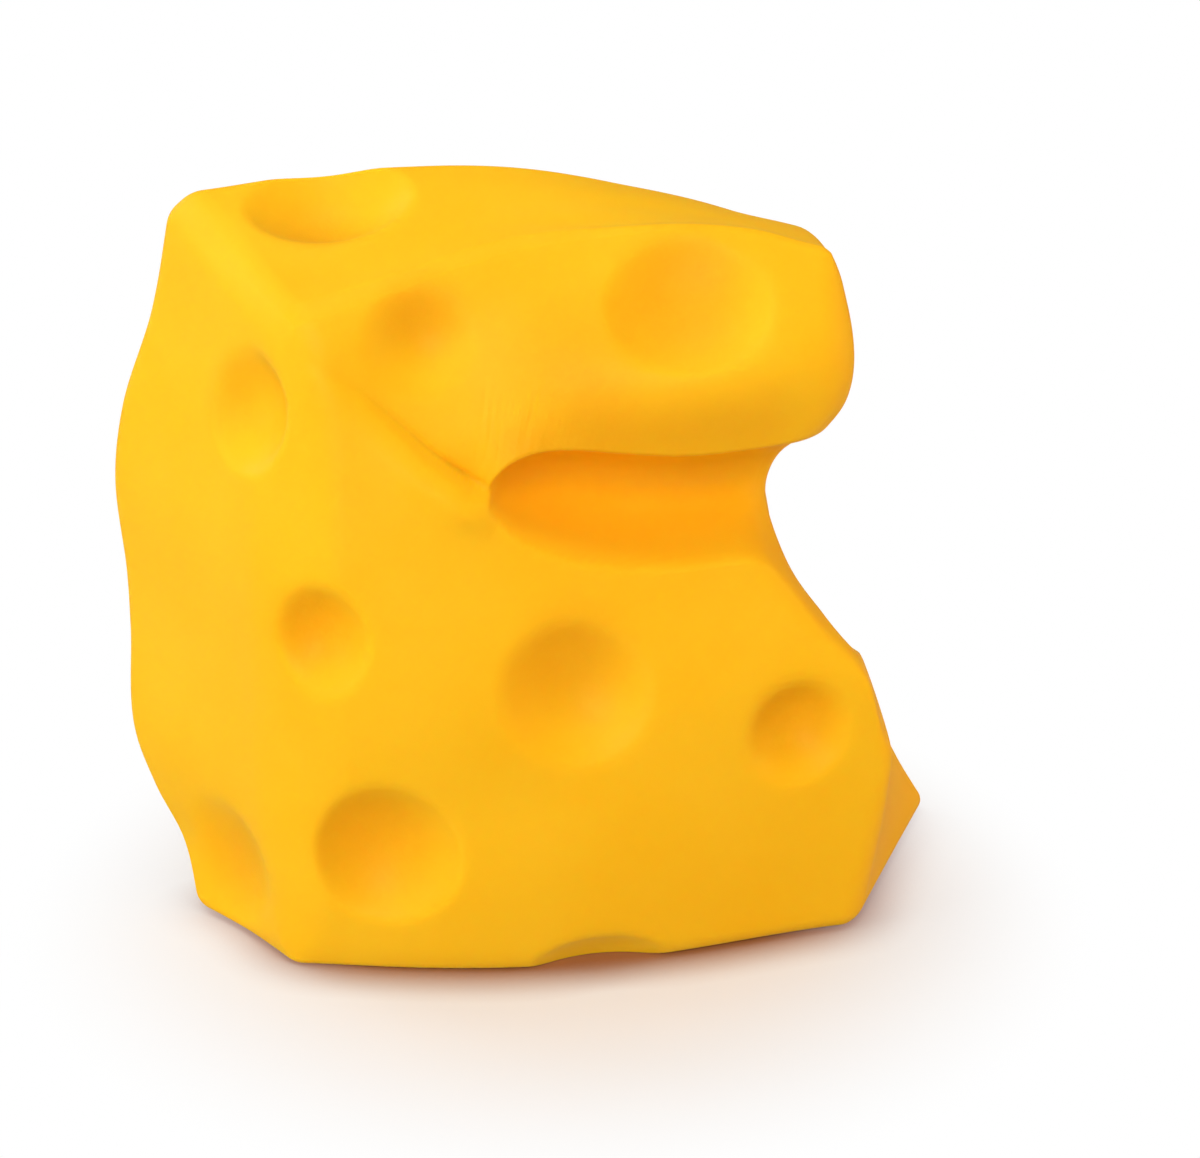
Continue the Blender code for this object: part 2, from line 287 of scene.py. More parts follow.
@dataclass(frozen=True)
class Crease:
    """Fold that climbs from the end of the groove.

    The side above its path tucks in by the step, which fades away from the fold, the side below
    rolls up into a lip, and the line is the sharp valley between them.
    """

    path: Table
    step: Table
    sharp: float = 0.5
    fade: float = 5.0
    line: float = 0.45
    line_width: float = 0.8
    lip: float = 0.35
    lip_place: float = -4.0
    lip_width: float = 3.2

    def measure(self, flat: np.ndarray) -> tuple[np.ndarray, np.ndarray]:
        """Find where points lie from the fold.

        Args:
            flat: points across and up.

        Returns:
            How far above the fold each point lies, and the share of the fold's length reached there.
        """
        path = np.array(self.path, float)
        spans = np.linalg.norm(np.diff(path, axis=0), axis=1)
        reached = np.concatenate([[0], np.cumsum(spans)]) / spans.sum()
        nearest = np.full(len(flat), np.inf)
        side, along = np.zeros(len(flat)), np.zeros(len(flat))
        for k, span in enumerate(spans):
            direction = (path[k + 1] - path[k]) / span
            away = flat - path[k]
            t = np.clip(away @ direction, 0, span)
            gap = away - t[:, None] * direction
            distance = np.linalg.norm(gap, axis=1)
            closer = distance < nearest
            nearest = np.where(closer, distance, nearest)
            turn = away[:, 0] * -direction[1] + away[:, 1] * direction[0]
            side = np.where(closer, -np.sign(turn) * distance, side)
            along = np.where(closer, reached[k] + t / spans.sum(), along)
        return side, along

    def push(self, front: np.ndarray) -> np.ndarray:
        """Measure how far the fold takes the front face in.

        Args:
            front: points of the front face.

        Returns:
            How far back each point goes.
        """
        side, along = self.measure(front[:, (0, 2)])
        amount = np.maximum(table_value(self.step, along), 0)
        above = (0.5 + 0.5 * np.tanh(side / self.sharp)) * np.exp(-np.maximum(side, 0) / self.fade)
        lip = self.lip * np.exp(-(((side - self.lip_place) / self.lip_width) ** 2))
        line = self.line * np.exp(-((side / self.line_width) ** 2))
        return amount * (above - lip + line)


@dataclass(frozen=True)
class FingerDent:
    """Dent that one finger leaves across the back, from the right edge to its tip."""

    height: float
    tip_x: float
    depth: float = 12.0
    half_height: float = 10.5
    back_y: float = 60.0
    tip_start: float = 14.0
    tip_run: float = 20.0
    lip: float = 7.0

    def push(self, back: np.ndarray) -> np.ndarray:
        """Measure how far the finger presses the back face in.

        Args:
            back: points of the back face.

        Returns:
            How far along Y each point goes, negative towards the front.
        """
        x, y, z = back.T
        s = (z - self.height) / self.half_height
        along = np.clip((self.tip_x + self.tip_start - x) / self.tip_run, 0, None)
        bowl = self.back_y - self.depth + self.depth * (s * s + along**2)
        return soft_min(y, bowl, self.lip) - y


@dataclass(frozen=True)
class BlockForm:
    """The whole squeezed block: four upright edges and the strokes made on it.

    An edge's rows give the share of the way up, then X, Y and Z there.
    """

    front_left: Table = ((0, -56, 7.5, 0), (.2, -55, 4, 27), (.5, -54, 2, 68),
                         (.75, -52.5, 5, 102), (1, -51, 12, 132))
    front_right: Table = ((0, 58, 5, 0), (.2, 64, 4, 30), (.3, 65, 4, 41), (.4, 61, 4, 56),
                          (.47, 53, 6, 66), (.54, 46, 9, 76), (.63, 44, 11, 88), (.72, 49, 11, 100),
                          (.8, 55.8, 12, 110), (.87, 57, 14, 121), (1, 53.5, 21, 140))
    back_right: Table = ((0, 88, 61, 0), (.08, 81, 60, 11), (.14, 77, 60, 18), (.2, 71.5, 60, 28),
                         (.27, 63.5, 60, 38), (.33, 56, 60, 46), (.4, 50, 60, 55),
                         (.47, 48, 59, 64), (.6, 49, 58, 82),
                         (.74, 52, 57, 100), (.85, 55, 57, 113), (1, 55.5, 57, 131.5))
    back_left: Table = ((0, -74.4, 31, 0), (.1, -77.4, 40, 14), (.17, -82.8, 46, 24),
                        (.25, -86.6, 50, 35), (.4, -86.2, 54, 56), (.5, -86.3, 56, 68),
                        (.62, -87.6, 59, 87), (.72, -85.2, 61, 102), (.85, -78.3, 61, 122),
                        (1, -73.3, 61, 147))
    swells: tuple[Swell, ...] = (
        # The top, pushed up along its back.
        Swell((-8, 62, 140), (70, 45, 45), (0, 0, 10.5)),
        Swell((20, 62, 136), (45, 45, 40), (0, 0, 1)),
        Swell((40, 62, 132), (28, 40, 35), (0, 0, 1.4)),
        Swell((-50, 60, 146), (28, 35, 30), (0, 0, 0.9)),
        # The top's right end, its front corner lowered.
        Swell((56, 24, 140), (18, 30, 18), (.4, 0, -1.7)),
        Swell((28, 40, 136), (46, 20, 30), (0, 0, 2.6)),
        Swell((54, 42, 131), (20, 22, 25), (0, 0, 1.3)),
        # The brow over the lobe.
        Swell((1, 15, 138), (55, 30, 30), (0, 9, 7)),
        Swell((35, 17, 140), (34, 30, 30), (0, 2, 3)),
        # The front below the groove and left of it, the lobe above it and the dip left of the lobe.
        Swell((-5, 4, 20), (70, 40, 75), (0, -11, 0)),
        Swell((-27, 4, 75), (45, 40, 45), (0, -6, 0)),
        Swell((27, 14, 122), (48, 25, 24), (0, -9, 0)),
        Swell((-23, 8, 122), (26, 25, 24), (0, 2.5, 0)),
        # The waist that the palm presses in, the back face and its lower left end.
        Swell((66, 36, 86), (34, 50, 30), (-5, 0, 0)),
        Swell((-20, 62, 70), (70, 30, 70), (0, 4, 0)),
        Swell((-46, 38, 8), (42, 40, 26), (0, 4.2, 0)),
    )
    crease: Crease = Crease(
        path=((-12, 97), (-18, 100), (-25.5, 105.7), (-37, 116.7), (-43.5, 121.2), (-51, 127)),
        step=((0, 0), (.12, 5), (.3, 3.8), (.5, 2.2), (.7, .9), (1, 0)))
    groove: ThumbGroove = ThumbGroove(
        upper=((-17, 99), (-14, 102), (-11, 104.7), (-7, 106.4), (0, 106.9), (10, 105.8),
               (23, 104.5), (37, 105.3), (50, 107.5), (73, 109.5)),
        lower=((-17, 97.5), (-14.5, 94.5), (-10, 89.5), (-2, 85), (5.5, 82), (15, 80), (25, 79.5),
               (38.5, 78.5), (42.5, 75), (50.5, 65), (59, 55), (63, 41), (73, 36)),
        floor=((-22, -.5), (-16, -.12), (-14, .3), (-10, .6), (-4, .83), (3, .95), (13, 1), (83, 1)))
    dents: tuple[FingerDent, ...] = (FingerDent(114, 6), FingerDent(93, 0), FingerDent(72, 3),
                                     FingerDent(52, 14))
    craters: tuple[Crater, ...] = (
        Crater((-49, -.4, 73), (-.38, -1, .08), 11.3, 7, 2.2),
        Crater((-38.2, -2.8, 26.8), (-.12, -1, .02), 15.5, 9, 1.5),
        Crater((.8, -3.5, 61.8), (.12, -1, .12), 15, 7.5, 2.2),
        Crater((44.8, 2, 47.2), (.17, -1, .02), 10.4, 6.8, 2.7),
        Crater((-26.4, 15.5, 126.8), (.1, -1, .3), 8.6, 3.9, 3.6),
        Crater((23.3, 15.4, 132), (-.03, -.74, .67), 15, 5.2, .8, 1.08),
        Crater((6.3, -3.5, -5.5), (0, -1, -.2), 15.3, 8, 0.9, 1.35),
        Crater((-41.6, 48, 145.5), (-.06, -.4, .92), 12.8, 6.5, 1.2, 1.25),
        Crater((-59, 19.8, 112.2), (-.86, -.48, .19), 11.8, 7, 2.2),
        Crater((-67.6, 22.6, 14), (-.83, -.55, .02), 14.8, 4.6, 1),
    )
    # Radii of the edges: all of them, added along the front's waist, and added at the top's left end
    # in front and behind, all on a block of this half size before the edges bend it.
    edge_radius: float = 4.0
    waist_radius: float = 9.0
    waist_rise: float = 2.5
    top_radius: tuple[float, float] = (3.0, 2.5)
    half: Triple = (62.0, 27.0, 70.0)

    def fractions(self, cube: np.ndarray) -> np.ndarray:
        """Round the unit cube's edges.

        Args:
            cube: points on the cube from -1 to 1.

        Returns:
            Three rows, the fractions across, back and up.
        """
        half = np.array(self.half)
        q = cube * half
        x, y, z = cube[:, :1], cube[:, 1:2], cube[:, 2:]
        side = (1 - x) / 2 + (1 + x) / 2 * np.clip(0.5 + self.waist_rise * z, 0, 1)
        top = np.clip(z, 0, 1) ** 4 * (1 - x) / 2
        radius = (self.edge_radius + self.waist_radius * (1 - z**4) * side * (1 - y) / 2
                  + top * (self.top_radius[0] * (1 - y) / 2 + self.top_radius[1] * (1 + y) / 2))
        core = np.clip(q, radius - half, half - radius)
        out = q - core
        length = np.linalg.norm(out, axis=1, keepdims=True)
        reach = np.abs(out).max(axis=1, keepdims=True)
        q = np.where(length > NO_LENGTH, core + out / np.maximum(length, NO_LENGTH) * reach, q)
        return (q / half * 0.5 + 0.5).T

    def between(self, u: np.ndarray, v: np.ndarray, w: np.ndarray) -> np.ndarray:
        """Blend the four upright edges.

        Args:
            u: fractions across.
            v: fractions back.
            w: fractions up.

        Returns:
            The points there.
        """
        corners = ((self.front_left, (1 - u) * (1 - v)), (self.front_right, u * (1 - v)),
                   (self.back_right, u * v), (self.back_left, (1 - u) * v))
        return sum(share[:, None] * smooth_curve(edge, w) for edge, share in corners)

    def shape(self, cube: np.ndarray) -> np.ndarray:
        """Form the block from points on the unit cube.

        Args:
            cube: points on the cube from -1 to 1.

        Returns:
            The formed points, in form units.
        """
        u, v, w = self.fractions(cube)
        points = self.between(u, v, w)
        front = self.between(u, np.zeros_like(v), w)
        back = self.between(u, np.ones_like(v), w)
        for each in self.swells:
            points, front, back = each.press(points), each.press(front), each.press(back)
        fold = self.crease.push(front)
        front[:, 1] += fold
        points[:, 1] += (fold + self.groove.push(front)) * (1 - v)
        for dent in self.dents:
            push = dent.push(back)
            back[:, 1] += push
            points[:, 1] += push * v
        for crater in self.craters:
            points = crater.press(points)
        return points


# ---------------------------------------------------------------------------- finishes
@dataclass(frozen=True)
class Patch:
    """Round patch of the surface, in millimetres, where a detail shows and fades out."""

    centre: Triple
    inner: float
    outer: float

    def mask(self, tree: bpy.types.NodeTree, place: bpy.types.NodeSocket) -> bpy.types.NodeSocket:
        """Tell the patch from the rest.

        Args:
            tree: node tree that receives the nodes.
            place: coordinates of the point.

        Returns:
            One inside the patch, easing to nothing at its outer radius.
        """
        away = add_node(tree, "ShaderNodeVectorMath", {"operation": "DISTANCE"},
                        {0: place, 1: tuple(c * MM for c in self.centre)})
        ease = add_node(tree, "ShaderNodeMapRange", {"interpolation_type": "SMOOTHSTEP"},
                        {"Value": away.outputs["Value"], "From Min": self.inner * MM,
                         "From Max": self.outer * MM, "To Min": 1.0, "To Max": 0.0})
        return ease.outputs["Result"]


@dataclass(frozen=True)
class MattRubber:
    """Soft thermoplastic rubber, moulded yellow and dusted with talc.

    The talc leaves the surface dull with a faint pale bloom at its edges.  Light enters the rubber a
    few millimetres and comes out warmer.  The mould leaves a fine grain, which shows more in the
    hollows, and there painted shade deepens the colour.  The pinched patch is drawn into fine
    wrinkles.
    """

    name: str
    body: str
    shade: str
    roughness: float = 0.5
    ior: float = 1.49
    gloss: float = 0.08
    bloom: float = 0.07
    bloom_spread: float = 0.4
    bloom_tint: str = "#ffc860"
    glow: float = 0.5
    glow_reach: Triple = (1.0, 0.5, 0.2)
    glow_mm: float = 2.2
    cloud_mm: float = 26.0
    grain_mm: float = 0.7
    grain_relief_mm: float = 0.25
    grain_strength: float = 0.05
    hollows: tuple[Patch, ...] = ()
    # Painted shade: the colour that the hollows are darkened towards, and how far.
    hollow_shade: str = "#e59a0e"
    hollow_shade_share: float = 0.4
    hollow_grain: float = 0.26
    wrinkle_patch: Patch | None = None
    wrinkle_turn: float = -12.0
    wrinkle_mm: Triple = (1.4, 8.0, 12.0)
    wrinkle_relief_mm: float = 0.6
    wrinkle_strength: float = 0.55

    def tone(self, tree: bpy.types.NodeTree, place: bpy.types.NodeSocket) -> bpy.types.NodeSocket:
        """Drift the body colour towards the shade at random, and darken it with painted shade in the
        hollows.

        Args:
            tree: node tree that receives the nodes.
            place: coordinates of the point.

        Returns:
            The colour.
        """
        cloud = add_node(tree, "ShaderNodeTexNoise", {"noise_dimensions": "3D"},
                         {"Vector": place, "Scale": 1 / (self.cloud_mm * MM), "Detail": 3.0,
                          "Roughness": 0.5})
        mix = add_node(tree, "ShaderNodeMix", {"data_type": "RGBA"},
                       {"Factor": cloud.outputs["Fac"], 6: linear_colour(self.body),
                        7: linear_colour(self.shade)}).outputs[2]
        # Painted shade: darken the colour towards the hollow shade colour in each hollow patch.
        for patch in self.hollows:
            part = add_node(tree, "ShaderNodeMath", {"operation": "MULTIPLY"},
                            {0: patch.mask(tree, place), 1: self.hollow_shade_share})
            mix = add_node(tree, "ShaderNodeMix", {"data_type": "RGBA"},
                           {"Factor": part.outputs[0], 6: mix,
                            7: linear_colour(self.hollow_shade)}).outputs[2]
        return mix

    def grain(self, tree: bpy.types.NodeTree, place: bpy.types.NodeSocket) -> bpy.types.NodeSocket:
        """Bump the surface with the mould's grain, more so in the hollows.

        Args:
            tree: node tree that receives the nodes.
            place: coordinates of the point.

        Returns:
            The bumped normal.
        """
        strength = add_node(tree, "ShaderNodeValue").outputs[0]
        strength.default_value = self.grain_strength
        for patch in self.hollows:
            strength = add_node(tree, "ShaderNodeMath", {"operation": "MULTIPLY_ADD"},
                                {0: patch.mask(tree, place), 1: self.hollow_grain,
                                 2: strength}).outputs[0]
        noise = add_node(tree, "ShaderNodeTexNoise", {"noise_dimensions": "3D"},
                         {"Vector": place, "Scale": 1 / (self.grain_mm * MM), "Detail": 2.0,
                          "Roughness": 0.6})
        return add_node(tree, "ShaderNodeBump", None,
                        {"Height": noise.outputs["Fac"], "Strength": strength,
                         "Distance": self.grain_relief_mm * MM}).outputs["Normal"]

    def wrinkles(self, tree: bpy.types.NodeTree, place: bpy.types.NodeSocket,
                 normal: bpy.types.NodeSocket) -> bpy.types.NodeSocket:
        """Lay the fine folds that run out of the pinch over the grain.

        Args:
            tree: node tree that receives the nodes.
            place: coordinates of the point.
            normal: normal with the grain in it.

        Returns:
            The normal with both.
        """
        turned = add_node(tree, "ShaderNodeMapping", {"vector_type": "POINT"},
                          {"Vector": place, "Rotation": (0.0, math.radians(self.wrinkle_turn), 0.0)})
        drawn = add_node(tree, "ShaderNodeVectorMath", {"operation": "MULTIPLY"},
                         {0: turned.outputs["Vector"],
                          1: tuple(1 / (run * MM) for run in self.wrinkle_mm)})
        folds = add_node(tree, "ShaderNodeTexNoise", {"noise_dimensions": "3D"},
                         {"Vector": drawn.outputs["Vector"], "Scale": 1.0, "Detail": 1.0,
                          "Distortion": 0.3})
        height = add_node(tree, "ShaderNodeMath", {"operation": "MULTIPLY"},
                          {0: folds.outputs["Fac"], 1: self.wrinkle_patch.mask(tree, place)})
        return add_node(tree, "ShaderNodeBump", None,
                        {"Height": height.outputs[0], "Strength": self.wrinkle_strength,
                         "Distance": self.wrinkle_relief_mm * MM,
                         "Normal": normal}).outputs["Normal"]

    def build(self) -> bpy.types.Material:
        """Make the material."""
        material, tree = new_material(self.name)
        place = add_node(tree, "ShaderNodeTexCoord").outputs["Object"]
        normal = self.grain(tree, place)
        if self.wrinkle_patch:
            normal = self.wrinkles(tree, place, normal)
        shader = add_node(tree, "ShaderNodeBsdfPrincipled", {"subsurface_method": "RANDOM_WALK"},
                          {"Base Color": self.tone(tree, place), "Roughness": self.roughness,
                           "IOR": self.ior, "Specular IOR Level": self.gloss,
                           "Sheen Weight": self.bloom, "Sheen Roughness": self.bloom_spread,
                           "Sheen Tint": linear_colour(self.bloom_tint),
                           "Subsurface Weight": self.glow, "Subsurface Radius": self.glow_reach,
                           "Subsurface Scale": self.glow_mm * MM, "Normal": normal})
        add_node(tree, "ShaderNodeOutputMaterial", None, {"Surface": shader.outputs["BSDF"]})
        return material


@dataclass(frozen=True)
class MaltoseSyrup:
    """Malt sugar boiled to a stiff amber syrup: clear, glossy, with faint streaks where it folded."""

    name: str = "maltose_syrup"
    body: str = "#e8a53c"
    streak: str = "#c97f22"
    streak_mm: float = 20.0
    roughness: float = 0.08
    ior: float = 1.49
    clearness: float = 0.6

    def build(self) -> bpy.types.Material:
        """Make the material."""
        material, tree = new_material(self.name)
        place = add_node(tree, "ShaderNodeTexCoord")
        folds = add_node(tree, "ShaderNodeTexNoise", {"noise_dimensions": "3D"},
                         {"Vector": place.outputs["Object"], "Scale": 1 / (self.streak_mm * MM),
                          "Detail": 4.0, "Distortion": 1.5})
        tone = add_node(tree, "ShaderNodeMix", {"data_type": "RGBA"},
                        {"Factor": folds.outputs["Fac"], 6: linear_colour(self.body),
                         7: linear_colour(self.streak)})
        shader = add_node(tree, "ShaderNodeBsdfPrincipled", None,
                          {"Base Color": tone.outputs[2], "Roughness": self.roughness,
                           "IOR": self.ior, "Transmission Weight": self.clearness})
        add_node(tree, "ShaderNodeOutputMaterial", None, {"Surface": shader.outputs["BSDF"]})
        return material


# Where painted shade darkens the skin and its grain is stronger: seven craters, then the groove
# with the lobe's left end and underside above it, then the craters on the top and at the lower left
# corner.
HOLLOWS = (
    Patch((-36, -22, 28), 3, 16), Patch((42, -19, 46), 2, 12), Patch((-45, -21, 69), 2, 11),
    Patch((0, -23, 61), 3, 16), Patch((-24, -8, 121), 2, 11), Patch((-60, -2, 106), 2, 11),
    Patch((23, -8, 123), 5, 16),
    Patch((-6, -19, 98), 1, 9), Patch((6, -22, 101), 1, 15), Patch((20, -25, 100), 1, 15),
    Patch((2, -14, 113), 0, 20), Patch((34, -26, 100), 1, 15),
    Patch((-40, 16, 132), 3, 13), Patch((-61, -3, 14), 2, 13),
)


class Finish(Enum):
    """The finishes on this toy."""

    SKIN = MattRubber("talced_yellow_rubber", "#ffc824", "#febb10", hollows=HOLLOWS,
                      wrinkle_patch=Patch((-5.5, -18, 102), 3, 14))
    STOPPER = MattRubber("stopper_rubber", "#f2b02a", "#e6a222", glow_mm=2.0, grain_mm=0.6)
    SEAL = MattRubber("solvent_set_seal", "#f6b935", "#edaa2a", roughness=0.3, glow_mm=2.0,
                      grain_mm=1.4)
    SYRUP = MaltoseSyrup()


# ---------------------------------------------------------------------------- the skin
@dataclass(frozen=True)
class Bore:
    """Round hole up through the base, in metres."""

    radius: float
    bottom: float
    top: float
    sides: int = 64

    def cutter(self, x: float, y: float) -> bpy.types.Object:
        """Make the plug that cuts the hole.

        Args:
            x: place of its axis across.
            y: place of its axis back.

        Returns:
            The plug.
        """
        bpy.ops.mesh.primitive_cylinder_add(vertices=self.sides, radius=self.radius,
                                            depth=self.top - self.bottom,
                                            location=(x, y, (self.bottom + self.top) / 2))
        return bpy.context.active_object


@dataclass
class Skin:
    """The moulded skin, made fine from six grids joined into a cube and then formed.

    The runs give, for each direction, how far across a run of even cells reaches and its cells: the
    cells are finest round the groove and at the edges.
    """

    form: BlockForm = field(default_factory=BlockForm)
    runs_x: Table = ((.05, 9), (.42, 88), (.94, 58), (1, 9))
    runs_y: Table = ((.12, 10), (.88, 26), (1, 10))
    runs_z: Table = ((.05, 9), (.5, 42), (.64, 26), (.87, 52), (.95, 9), (1, 8))
    syrup_gap: float = 0.0004
    head_seat: Bore = Bore(0.0094, 0.004, 0.0068)
    neck_port: Bore = Bore(0.005, -0.002, 0.005)
    seal_recess: Bore = Bore(0.0093, -0.002, 0.0015)
    object: bpy.types.Object | None = None

    @staticmethod
    def lines(runs: Table) -> np.ndarray:
        """Space grid lines in runs of even cells.

        Args:
            runs: the share of the way that each run ends at, and its cells.

        Returns:
            The lines' places from -1 to 1.
        """
        line, start = [0.0], 0.0
        for end, cells in runs:
            line.extend(start + (end - start) * (k + 1) / cells for k in range(int(cells)))
            start = end
        return np.array(line) * 2 - 1

    def cube(self) -> bpy.types.Object:
        """Join six grids into a closed cube whose lines are counted, not yet spaced.

        Returns:
            The cube, 2 along each edge.
        """
        counts = [sum(int(cells) for _, cells in runs)
                  for runs in (self.runs_x, self.runs_y, self.runs_z)]
        sides = []
        deselect_all()
        for axis in range(3):
            first, second = (axis + 1) % 3, (axis + 2) % 3
            basis = Matrix.Identity(4)
            for column, direction in enumerate((first, second, axis)):
                unit = (1.0 if k == direction else 0.0 for k in range(3))
                basis.col[column] = Vector((*unit, 0.0))
            for side in (-1.0, 1.0):
                bpy.ops.mesh.primitive_grid_add(x_subdivisions=counts[first],
                                                y_subdivisions=counts[second], size=2)
                sheet = bpy.context.active_object
                sheet.matrix_world = basis @ Matrix.Translation((0, 0, side))
                if side < 0:
                    sheet.data.flip_normals()
                apply_place(sheet)
                sides.append(sheet)
        for each in sides:
            each.select_set(True)
        bpy.ops.object.join()
        joined = bpy.context.active_object
        bpy.ops.object.mode_set(mode="EDIT")
        bpy.ops.mesh.select_all(action="SELECT")
        bpy.ops.mesh.remove_doubles(threshold=GRID_MERGE)
        bpy.ops.object.mode_set(mode="OBJECT")
        return joined

    def make(self) -> None:
        """Form the outside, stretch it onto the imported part's box and open the inside."""
        skin = self.cube()
        skin.name = skin.data.name = "toy_skin"
        mesh = skin.data
        cube = np.empty(len(mesh.vertices) * 3)
        mesh.vertices.foreach_get("co", cube)
        cube = cube.reshape(-1, 3)
        for axis, runs in enumerate((self.runs_x, self.runs_y, self.runs_z)):
            line = self.lines(runs)
            even = np.linspace(-1, 1, len(line))
            cube[:, axis] = np.interp(cube[:, axis], even, line)
        points = self.form.shape(cube)
        low, high = points.min(axis=0), points.max(axis=0)
        box_low, box_high = (np.array(corner, float) for corner in CAD_BOX)
        points = box_low + (points - low) / (high - low) * (box_high - box_low)
        mesh.vertices.foreach_set("co", points.ravel())
        mesh.update()
        self.object = skin
        self.open_inside()
        make_active(skin)
        bpy.ops.object.shade_smooth()

    def cavity(self) -> bpy.types.Object:
        """Make the cutter for the cavity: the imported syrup, grown by the gap round it."""
        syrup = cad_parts["maltose_filling"]
        cavity = syrup.copy()
        cavity.data = syrup.data.copy()
        bpy.context.scene.collection.objects.link(cavity)
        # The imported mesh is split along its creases, and a Boolean needs it in one piece.
        joined = bmesh.new()
        joined.from_mesh(cavity.data)
        bmesh.ops.remove_doubles(joined, verts=joined.verts, dist=MERGE)
        joined.to_mesh(cavity.data)
        joined.free()
        for vertex in cavity.data.vertices:
            vertex.co += vertex.normal * self.syrup_gap
        return cavity

    def cut(self, cutter: bpy.types.Object) -> None:
        """Cut a solid out of the skin and throw the cutter away.

        Args:
            cutter: closed solid to take out.
        """
        make_active(self.object)
        cut = self.object.modifiers.new("open", "BOOLEAN")
        cut.operation = "DIFFERENCE"
        cut.solver = "MANIFOLD"
        cut.object = cutter
        before = len(self.object.data.polygons)
        bpy.ops.object.modifier_apply(modifier=cut.name)
        if len(self.object.data.polygons) == before:
            raise RuntimeError(f"{cutter.name} took nothing out of the skin")
        bpy.data.objects.remove(cutter, do_unlink=True)

    def open_inside(self) -> None:
        """Take out the cavity that holds the syrup, the fill port and the recess for its seal."""
        self.cut(self.cavity())
        low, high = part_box("fill_stopper")
        for bore in (self.head_seat, self.neck_port, self.seal_recess):
            deselect_all()
            self.cut(bore.cutter((low.x + high.x) / 2, (low.y + high.y) / 2))

    def dress(self, finish: Finish) -> None:
        """Give the skin its finish and its place in the frame.

        Args:
            finish: what it is made of.
        """
        self.object.data.materials.clear()
        self.object.data.materials.append(finish.value.build())
        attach(self.object, "root")
        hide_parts("skin")
        log.info("skin: %d faces", len(self.object.data.polygons))


# ---------------------------------------------------------------------------- studio
@dataclass(frozen=True)
class Camera:
    """Long lens a little above and to the left of the toy's front."""

    azimuth: float = -8.0
    elevation: float = 22.0
    distance: float = 0.5604
    lens: float = 90.0
    sensor: float = 36.0
    farthest: float = 20.0
    target: Triple = (0.0094, 0.0022, 0.0652)

    def build(self) -> None:
        """Add the camera and make it the scene's own."""
        a, e = math.radians(self.azimuth), math.radians(self.elevation)
        back = Vector((math.sin(a) * math.cos(e), -math.cos(a) * math.cos(e), math.sin(e)))
        right = Vector((math.cos(a), math.sin(a), 0.0))
        up = back.cross(right)
        data = bpy.data.cameras.new("camera")
        data.lens = self.lens
        data.sensor_width = self.sensor
        data.clip_end = self.farthest
        obj = bpy.data.objects.new("camera", data)
        bpy.context.scene.collection.objects.link(obj)
        place = Matrix((right, up, back)).transposed().to_4x4()
        place.translation = Vector(self.target) + back * self.distance
        obj.matrix_world = place
        bpy.context.scene.camera = obj


@dataclass(frozen=True)
class Softbox:
    """Square area lamp aimed at the toy."""

    name: str
    place: Triple
    size: float
    watts: float
    tint: str = "#ffffff"
    aim: Triple = (0.0, 0.0, 0.06)

    def build(self) -> None:
        """Add the lamp."""
        data = bpy.data.lights.new(self.name, "AREA")
        data.shape = "SQUARE"
        data.size = self.size
        data.energy = self.watts
        data.color = linear_colour(self.tint)[:3]
        obj = bpy.data.objects.new(self.name, data)
        bpy.context.scene.collection.objects.link(obj)
        turn = (Vector(self.aim) - Vector(self.place)).to_track_quat("-Z", "Y")
        obj.matrix_world = Matrix.Translation(self.place) @ turn.to_matrix().to_4x4()


